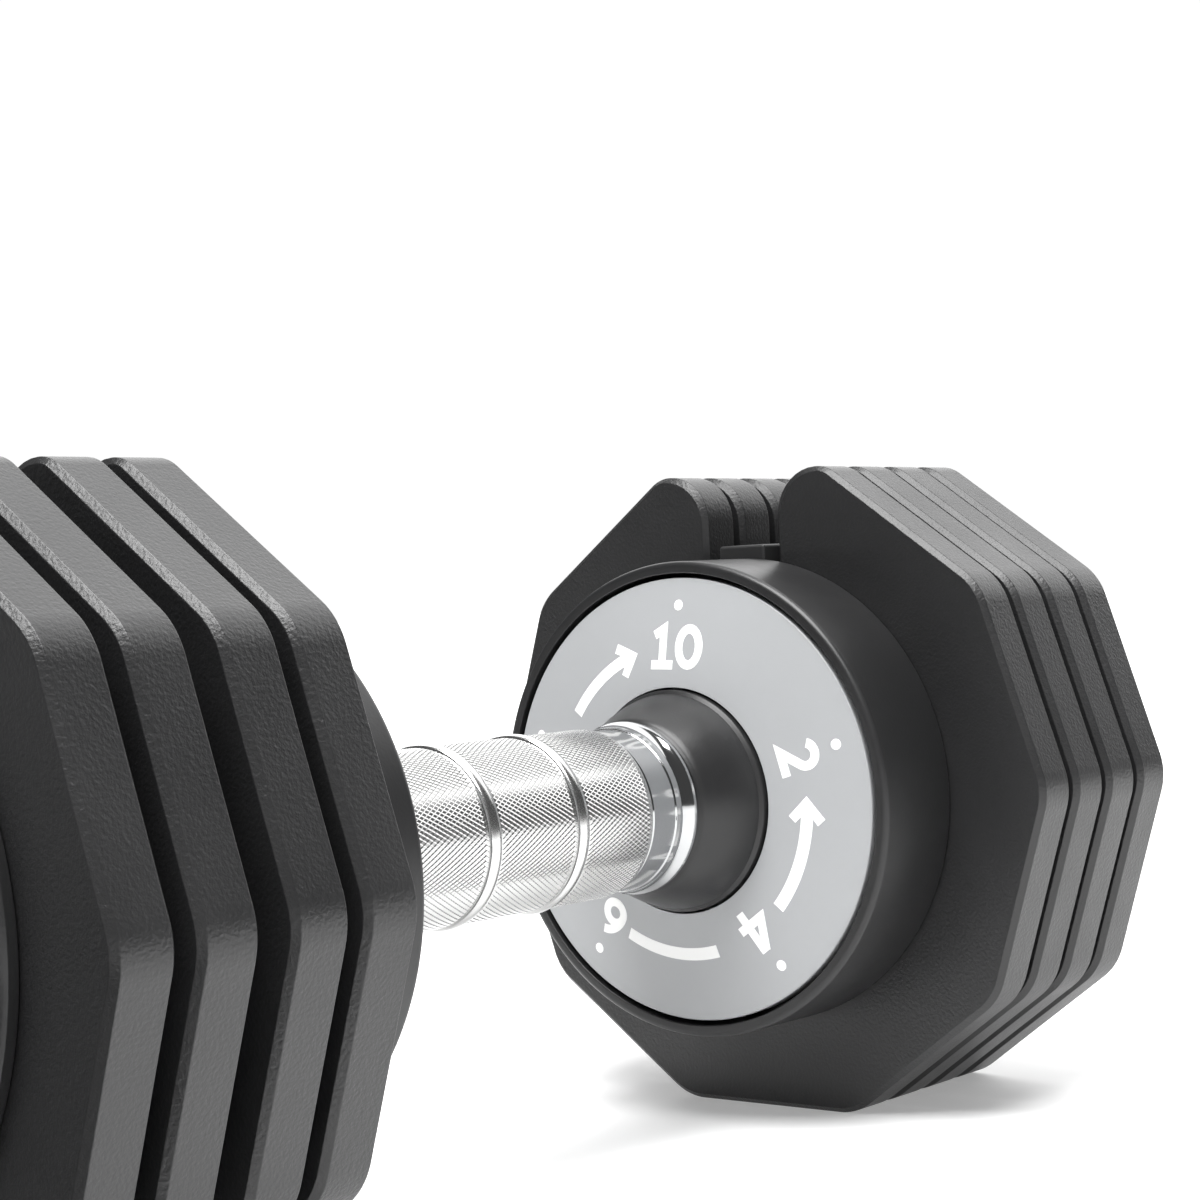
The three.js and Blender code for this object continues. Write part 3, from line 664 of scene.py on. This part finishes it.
def grip():
    """The chrome sleeve: three knurled bands between two polished beads."""
    half_length = (grip_high.x - grip_low.x) / 2 / MM
    radius = (grip_high.z - AXIS_Z) / MM - BEAD_HEIGHT
    low = radius - KNURL_DEPTH
    mesh = bmesh.new()
    beside_bead = BEAD_HALF_WIDTH + BEAD_MARGIN
    bands = ((-half_length + BAND_INSET, -BEAD_AT - beside_bead),
             (-BEAD_AT + beside_bead, BEAD_AT - beside_bead),
             (BEAD_AT + beside_bead, half_length - BAND_INSET))
    chain = [grip_ring(mesh, -half_length, GRIP_BORE),
             grip_ring(mesh, -half_length, low - GRIP_CHAMFER),
             grip_ring(mesh, -half_length + GRIP_CHAMFER, low)]
    for i, (x0, x1) in enumerate(bands):
        first, last = knurl(mesh, x0, x1, radius)
        ring_faces(mesh, chain + [first], closed=False)
        chain = [last]
        if i < len(bands) - 1:
            centre = (x1 + bands[i + 1][0]) / 2
            chain.append(grip_ring(mesh, centre - BEAD_HALF_WIDTH, low - BEAD_ROOT))
            for k in range(BEAD_STEPS + 1):
                across = -math.cos(math.pi * k / BEAD_STEPS)
                height = BEAD_HEIGHT * math.sqrt(max(1 - across * across, 0))
                chain.append(grip_ring(mesh, centre + across * (BEAD_HALF_WIDTH - 0.1),
                                       radius + height))
            chain.append(grip_ring(mesh, centre + BEAD_HALF_WIDTH, low - BEAD_ROOT))
    chain += [grip_ring(mesh, half_length - GRIP_CHAMFER, low),
              grip_ring(mesh, half_length, low - GRIP_CHAMFER),
              grip_ring(mesh, half_length, GRIP_BORE)]
    ring_faces(mesh, chain, closed=False)
    bore = [grip_ring(mesh, half_length, GRIP_BORE), grip_ring(mesh, -half_length, GRIP_BORE)]
    ring_faces(mesh, bore, closed=False)
    bmesh.ops.remove_doubles(mesh, verts=mesh.verts, dist=1e-7)
    piece = object_of("knurled_grip", mesh)
    finished(piece, knurl_chrome, "handle", ["grip_sleeve"], 24)


FLANGE_OVER_NECK = 1.4
NECK_LENGTH = 7.1
STEP_HEIGHT = 0.3
FLARE_STEPS = 10


def collar(side):
    """The chrome ring between grip and hub: a plain neck, a step, a flare and a flange."""
    start, end, flange = span("collar", side)
    neck = flange - FLANGE_OVER_NECK
    flare_start, flare_end = start + NECK_LENGTH + 1.2, end - 2.2
    flare_low, flare_high = neck + STEP_HEIGHT, flange - 0.12
    flare = []
    for k in range(FLARE_STEPS + 1):
        share = k / FLARE_STEPS
        flare.append((flare_start + (flare_end - flare_start) * share,
                      flare_low + (flare_high - flare_low) * share ** 2, 0))
    profile = filleted([
        (start, GRIP_BORE, 0),
        (start, neck - 0.15, 0.1),
        (start + 0.5, neck + 0.05, 0.2),
        (start + NECK_LENGTH, neck + 0.05, 0.15),
        (start + NECK_LENGTH + 0.2, neck + STEP_HEIGHT, 0.12),
    ] + flare + [
        (end - 1.9, flange, 0.35),
        (end - 0.9, flange, 0.5),
        (end - 0.75, flange - 0.35, 0.1),
        (end, flange - 0.45, 0.15),
        (end, GRIP_BORE, 0),
    ], steps=5)
    # The collar's chrome carries painted shade: its colour is darker than the grip's chrome.
    piece = object_of(f"collar_ring_{side}", turned_mesh(profile, side, 160))
    finished(piece, chrome, "handle", [f"collar_{side}"])


# ---- Rail, cover and screws ------------------------------------------------------------------
RAIL_GAP = 0.15
RAIL_BEVEL = 0.7
STUB_GAP = 0.3
STUB_BELOW_TOP = 6.0


def carrier_rail(side):
    """The bar in the plates' notches, with the stub that is screwed into the drum."""
    low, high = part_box(f"carrier_rail_{side}")
    start, end, top = span("carrier_rail", side)
    bottom, half = (low.z - AXIS_Z) / MM, (high.y - low.y) / 2 / MM
    face_x = span("drum_housing", side)[1] + RAIL_GAP
    rail = object_of("rail", block_mesh((face_x, -half, bottom), (end, half, top), side,
                                        RAIL_BEVEL))
    stub_half = half - STUB_GAP
    stub = block_mesh((start, -stub_half, bottom + STUB_GAP),
                      (face_x + PAST, stub_half, top - STUB_BELOW_TOP), side, 0.3)
    boolean(rail, stub, "UNION")
    rail.name = f"rail_{side}"
    finished(rail, rail_steel, "root", [f"carrier_rail_{side}"])


COVER_SCREW_CIRCLE = 36
COVER_SCREWS = 3
COVER_RECESS = 1.2
RIDGE_HEIGHT = 0.5
RIDGE_INNER, RIDGE_OUTER = 15.0, 19.0
RIDGE_SLOPE = 0.7
COVER_HOLE = 2.2
SCREW_HEAD = 3.2
SCREW_HEAD_HEIGHT = 1.3
SCREW_SHANK = 1.9
SOCKET_DEPTH = 0.8
SOCKET_RADIUS = 1.55


def cover_screw_centre(number):
    """Where a cover screw is (y, z). They count from the top."""
    angle = math.pi / 2 + (number - 1) * 2 * math.pi / COVER_SCREWS
    return COVER_SCREW_CIRCLE * math.cos(angle), COVER_SCREW_CIRCLE * math.sin(angle)


def outer_cover(side):
    start, end, radius = span("outer_cover", side)
    recess = end - COVER_RECESS
    ridge = recess + RIDGE_HEIGHT
    profile = filleted([
        (start, 0, 0),
        (recess, 0, 0),
        (recess, RIDGE_INNER, 0.2),
        (ridge, RIDGE_INNER + RIDGE_SLOPE, 0.2),
        (ridge, RIDGE_OUTER - RIDGE_SLOPE, 0.2),
        (recess, RIDGE_OUTER, 0.2),
        (recess, radius - 9.0, 1.0),
        (end, radius - 6.8, 0.8),
        (end, radius - 0.6, 1.6),
        (end - 1.6, radius, 0.6),
        (start, radius, 0.2),
    ], steps=6)
    cover = object_of("cover", turned_mesh(profile, side, 192))
    for number in range(1, COVER_SCREWS + 1):
        centre = cover_screw_centre(number)
        hole = [(start - PAST, 0), (end + PAST, 0), (end + PAST, COVER_HOLE),
                (start - PAST, COVER_HOLE)]
        boolean(cover, turned_mesh(hole, side, 36, centre), "DIFFERENCE")
    cover.name = f"end_cover_{side}"
    finished(cover, cover_plastic, "root", [f"outer_cover_{side}"])


def cover_screw(index, side):
    """A socket-head screw in the end cover."""
    node = f"cover_screw_{index}"
    start, end, _ = span(node, side)
    centre = cover_screw_centre(index)
    under_head = end - SCREW_HEAD_HEIGHT
    profile = filleted([
        (start, 0, 0),
        (end, 0, 0),
        (end, SCREW_HEAD - 0.3, 0.9),
        (under_head, SCREW_HEAD, 0.2),
        (under_head, SCREW_SHANK, 0),
        (start, SCREW_SHANK, 0.2),
    ], steps=5)
    screw = object_of("screw", turned_mesh(profile, side, 48, centre))
    floor_x, top_x = end - SOCKET_DEPTH, end + PAST
    socket = [(floor_x, 0), (top_x, 0), (top_x, SOCKET_RADIUS), (floor_x, SOCKET_RADIUS)]
    boolean(screw, turned_mesh(socket, side, 6, centre), "DIFFERENCE")
    screw.name = f"socket_screw_{index}_{side}"
    finished(screw, black_zinc, "root", [f"{node}_{side}"])


# ---- CAD nodes that stay as they are ---------------------------------------------------------
KEPT = (
    (steel, ("cam_tube", "align_bar", "index_ring", "retaining_ring", "lock_bolt",
             "follower_pin", "lock_plunger", "plunger_spring", "back_plate_screw")),
    (black_zinc, ("rail_screw",)),
    (bronze, ("tube_bearing", "bolt_bush")),
    (drum_plastic, ("drum_back_plate",)),
)


def repaint_kept_nodes():
    for name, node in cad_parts.items():
        for material, stems in KEPT:
            if name.startswith(stems):
                node.data.materials.clear()
                node.data.materials.append(material)
                node.data.shade_smooth()
                node.data.set_sharp_from_angle(angle=math.radians(30))


# ---- Studio ----------------------------------------------------------------------------------
FLOOR_HALF = 12.0
GLOW_START, GLOW_END = 0.25, 1.1
NEAR_GLOW, FAR_GLOW = 0.3, 1.0
SURROUND_SEEN, SURROUND_LIGHT = 1.02, 0.10


def floor():
    """Pale paper that glows more with distance, as a lit sweep does, so it fades into white."""
    mesh = bmesh.new()
    bmesh.ops.create_grid(mesh, x_segments=8, y_segments=8, size=FLOOR_HALF)
    made = object_of("floor", mesh)
    paper = surface("floor_paper", (0.8, 0.8, 0.8), 0.8, grain=300, bump=0.02, colour_change=0.01)
    nodes, links = paper.node_tree.nodes, paper.node_tree.links
    shader = nodes["Principled BSDF"]
    shader.inputs["Emission Color"].default_value = (1, 1, 1, 1)
    where = nodes.new("ShaderNodeTexCoord")
    distance = nodes.new("ShaderNodeVectorMath")
    distance.operation = "LENGTH"
    links.new(where.outputs["Object"], distance.inputs[0])
    glow = nodes.new("ShaderNodeMapRange")
    glow.interpolation_type = "SMOOTHSTEP"
    glow.inputs["From Min"].default_value = GLOW_START
    glow.inputs["From Max"].default_value = GLOW_END
    glow.inputs["To Min"].default_value = NEAR_GLOW
    glow.inputs["To Max"].default_value = FAR_GLOW
    links.new(distance.outputs["Value"], glow.inputs["Value"])
    links.new(glow.outputs["Result"], shader.inputs["Emission Strength"])
    made.data.materials.append(paper)


CARD_X, CARD_Y = (-1.4, -0.16), (-0.3, 1.3)
CARD_HEIGHT = 0.0005


def painted_shade_card():
    """A dark card on the floor past the near end, which only reflections see. It is painted shade:
    it stands in for the shaded floor there and darkens what the near end reflects.
    """
    mesh = bmesh.new()
    corners = ((CARD_X[0], CARD_Y[0]), (CARD_X[1], CARD_Y[0]), (CARD_X[1], CARD_Y[1]),
               (CARD_X[0], CARD_Y[1]))
    mesh.faces.new([mesh.verts.new((x, y, CARD_HEIGHT)) for x, y in corners])
    card = object_of("painted_shade_card", mesh)
    card.data.materials.append(surface("painted_shade_black", (0.02, 0.02, 0.02), 0.7, grain=300,
                                       bump=0.02))
    card.visible_camera = False
    card.visible_diffuse = False
    card.visible_shadow = False


def area_light(name, location, target, width, height, power):
    data = bpy.data.lights.new(name, "AREA")
    data.shape = "RECTANGLE"
    data.size, data.size_y = width, height
    data.energy = power
    light = bpy.data.objects.new(name, data)
    light.location = location
    light.rotation_mode = "QUATERNION"
    light.rotation_quaternion = (Vector(target) - light.location).to_track_quat("-Z", "Y")
    bpy.context.scene.collection.objects.link(light)


def soft_sun(name, toward, degrees, power):
    """An even light from far away, as wide as a big softbox. toward points at the light."""
    data = bpy.data.lights.new(name, "SUN")
    data.angle = math.radians(degrees)
    data.energy = power
    light = bpy.data.objects.new(name, data)
    light.rotation_mode = "QUATERNION"
    light.rotation_quaternion = Vector(toward).to_track_quat("Z", "Y")
    bpy.context.scene.collection.objects.link(light)


def studio():
    """A wide key light from past the far end, a softbox overhead and a white surround."""
    soft_sun("key", toward=(0.74, 0.22, 0.62), degrees=76, power=2.7)
    area_light("top", location=(-0.38, -0.18, 1.3), target=(0.05, 0, 0.05), width=1.0,
               height=1.0, power=46)
    world = bpy.data.worlds.new("surround")
    world.use_nodes = True
    nodes, links = world.node_tree.nodes, world.node_tree.links
    seen = nodes["Background"]
    seen.inputs["Color"].default_value = (1, 1, 1, 1)
    seen.inputs["Strength"].default_value = SURROUND_SEEN
    lighting = nodes.new("ShaderNodeBackground")
    lighting.inputs["Color"].default_value = (1, 1, 1, 1)
    lighting.inputs["Strength"].default_value = SURROUND_LIGHT
    path = nodes.new("ShaderNodeLightPath")
    mix = nodes.new("ShaderNodeMixShader")
    links.new(path.outputs["Is Camera Ray"], mix.inputs["Fac"])
    links.new(lighting.outputs["Background"], mix.inputs[1])
    links.new(seen.outputs["Background"], mix.inputs[2])
    links.new(mix.outputs["Shader"], nodes["World Output"].inputs["Surface"])
    bpy.context.scene.world = world
    bpy.context.scene.view_settings.view_transform = "Standard"


CAMERA_PLACE = (-361.1, -329.6, 111.7)
CAMERA_YAW, CAMERA_PITCH, CAMERA_ROLL = 39.36, -0.17, -2.76
CAMERA_LENS = 78.0


def camera():
    """Looks along +X and +Y, from beside the near end towards the far dial."""
    data = bpy.data.cameras.new("camera")
    data.lens = CAMERA_LENS
    data.clip_start = 0.02
    made = bpy.data.objects.new("camera", data)
    yaw, pitch = math.radians(CAMERA_YAW), math.radians(CAMERA_PITCH)
    forward = Vector((math.cos(pitch) * math.cos(yaw), math.cos(pitch) * math.sin(yaw),
                      math.sin(pitch)))
    right = Vector((math.sin(yaw), -math.cos(yaw), 0))
    up = right.cross(forward)
    turn = Matrix((right, up, -forward)).transposed().to_4x4()
    turn = turn @ Matrix.Rotation(math.radians(CAMERA_ROLL), 4, "Z")
    x, y, z = CAMERA_PLACE
    made.matrix_world = Matrix.Translation((MIDDLE_X + x * MM, y * MM, z * MM)) @ turn
    bpy.context.scene.collection.objects.link(made)
    bpy.context.scene.camera = made


# ---- Everything ------------------------------------------------------------------------------
camera()
studio()
floor()
painted_shade_card()
grip()
for end in SIDES:
    collar(end)
    hub(end)
    dial(end)
    dial_print(end)
    drum_housing(end)
    carrier_rail(end)
    outer_cover(end)
    for number in range(1, COVER_SCREWS + 1):
        cover_screw(number, end)
    for number in range(1, PLATES_PER_END + 1):
        weight_plate(number, end)
repaint_kept_nodes()

bpy.context.view_layer.update()
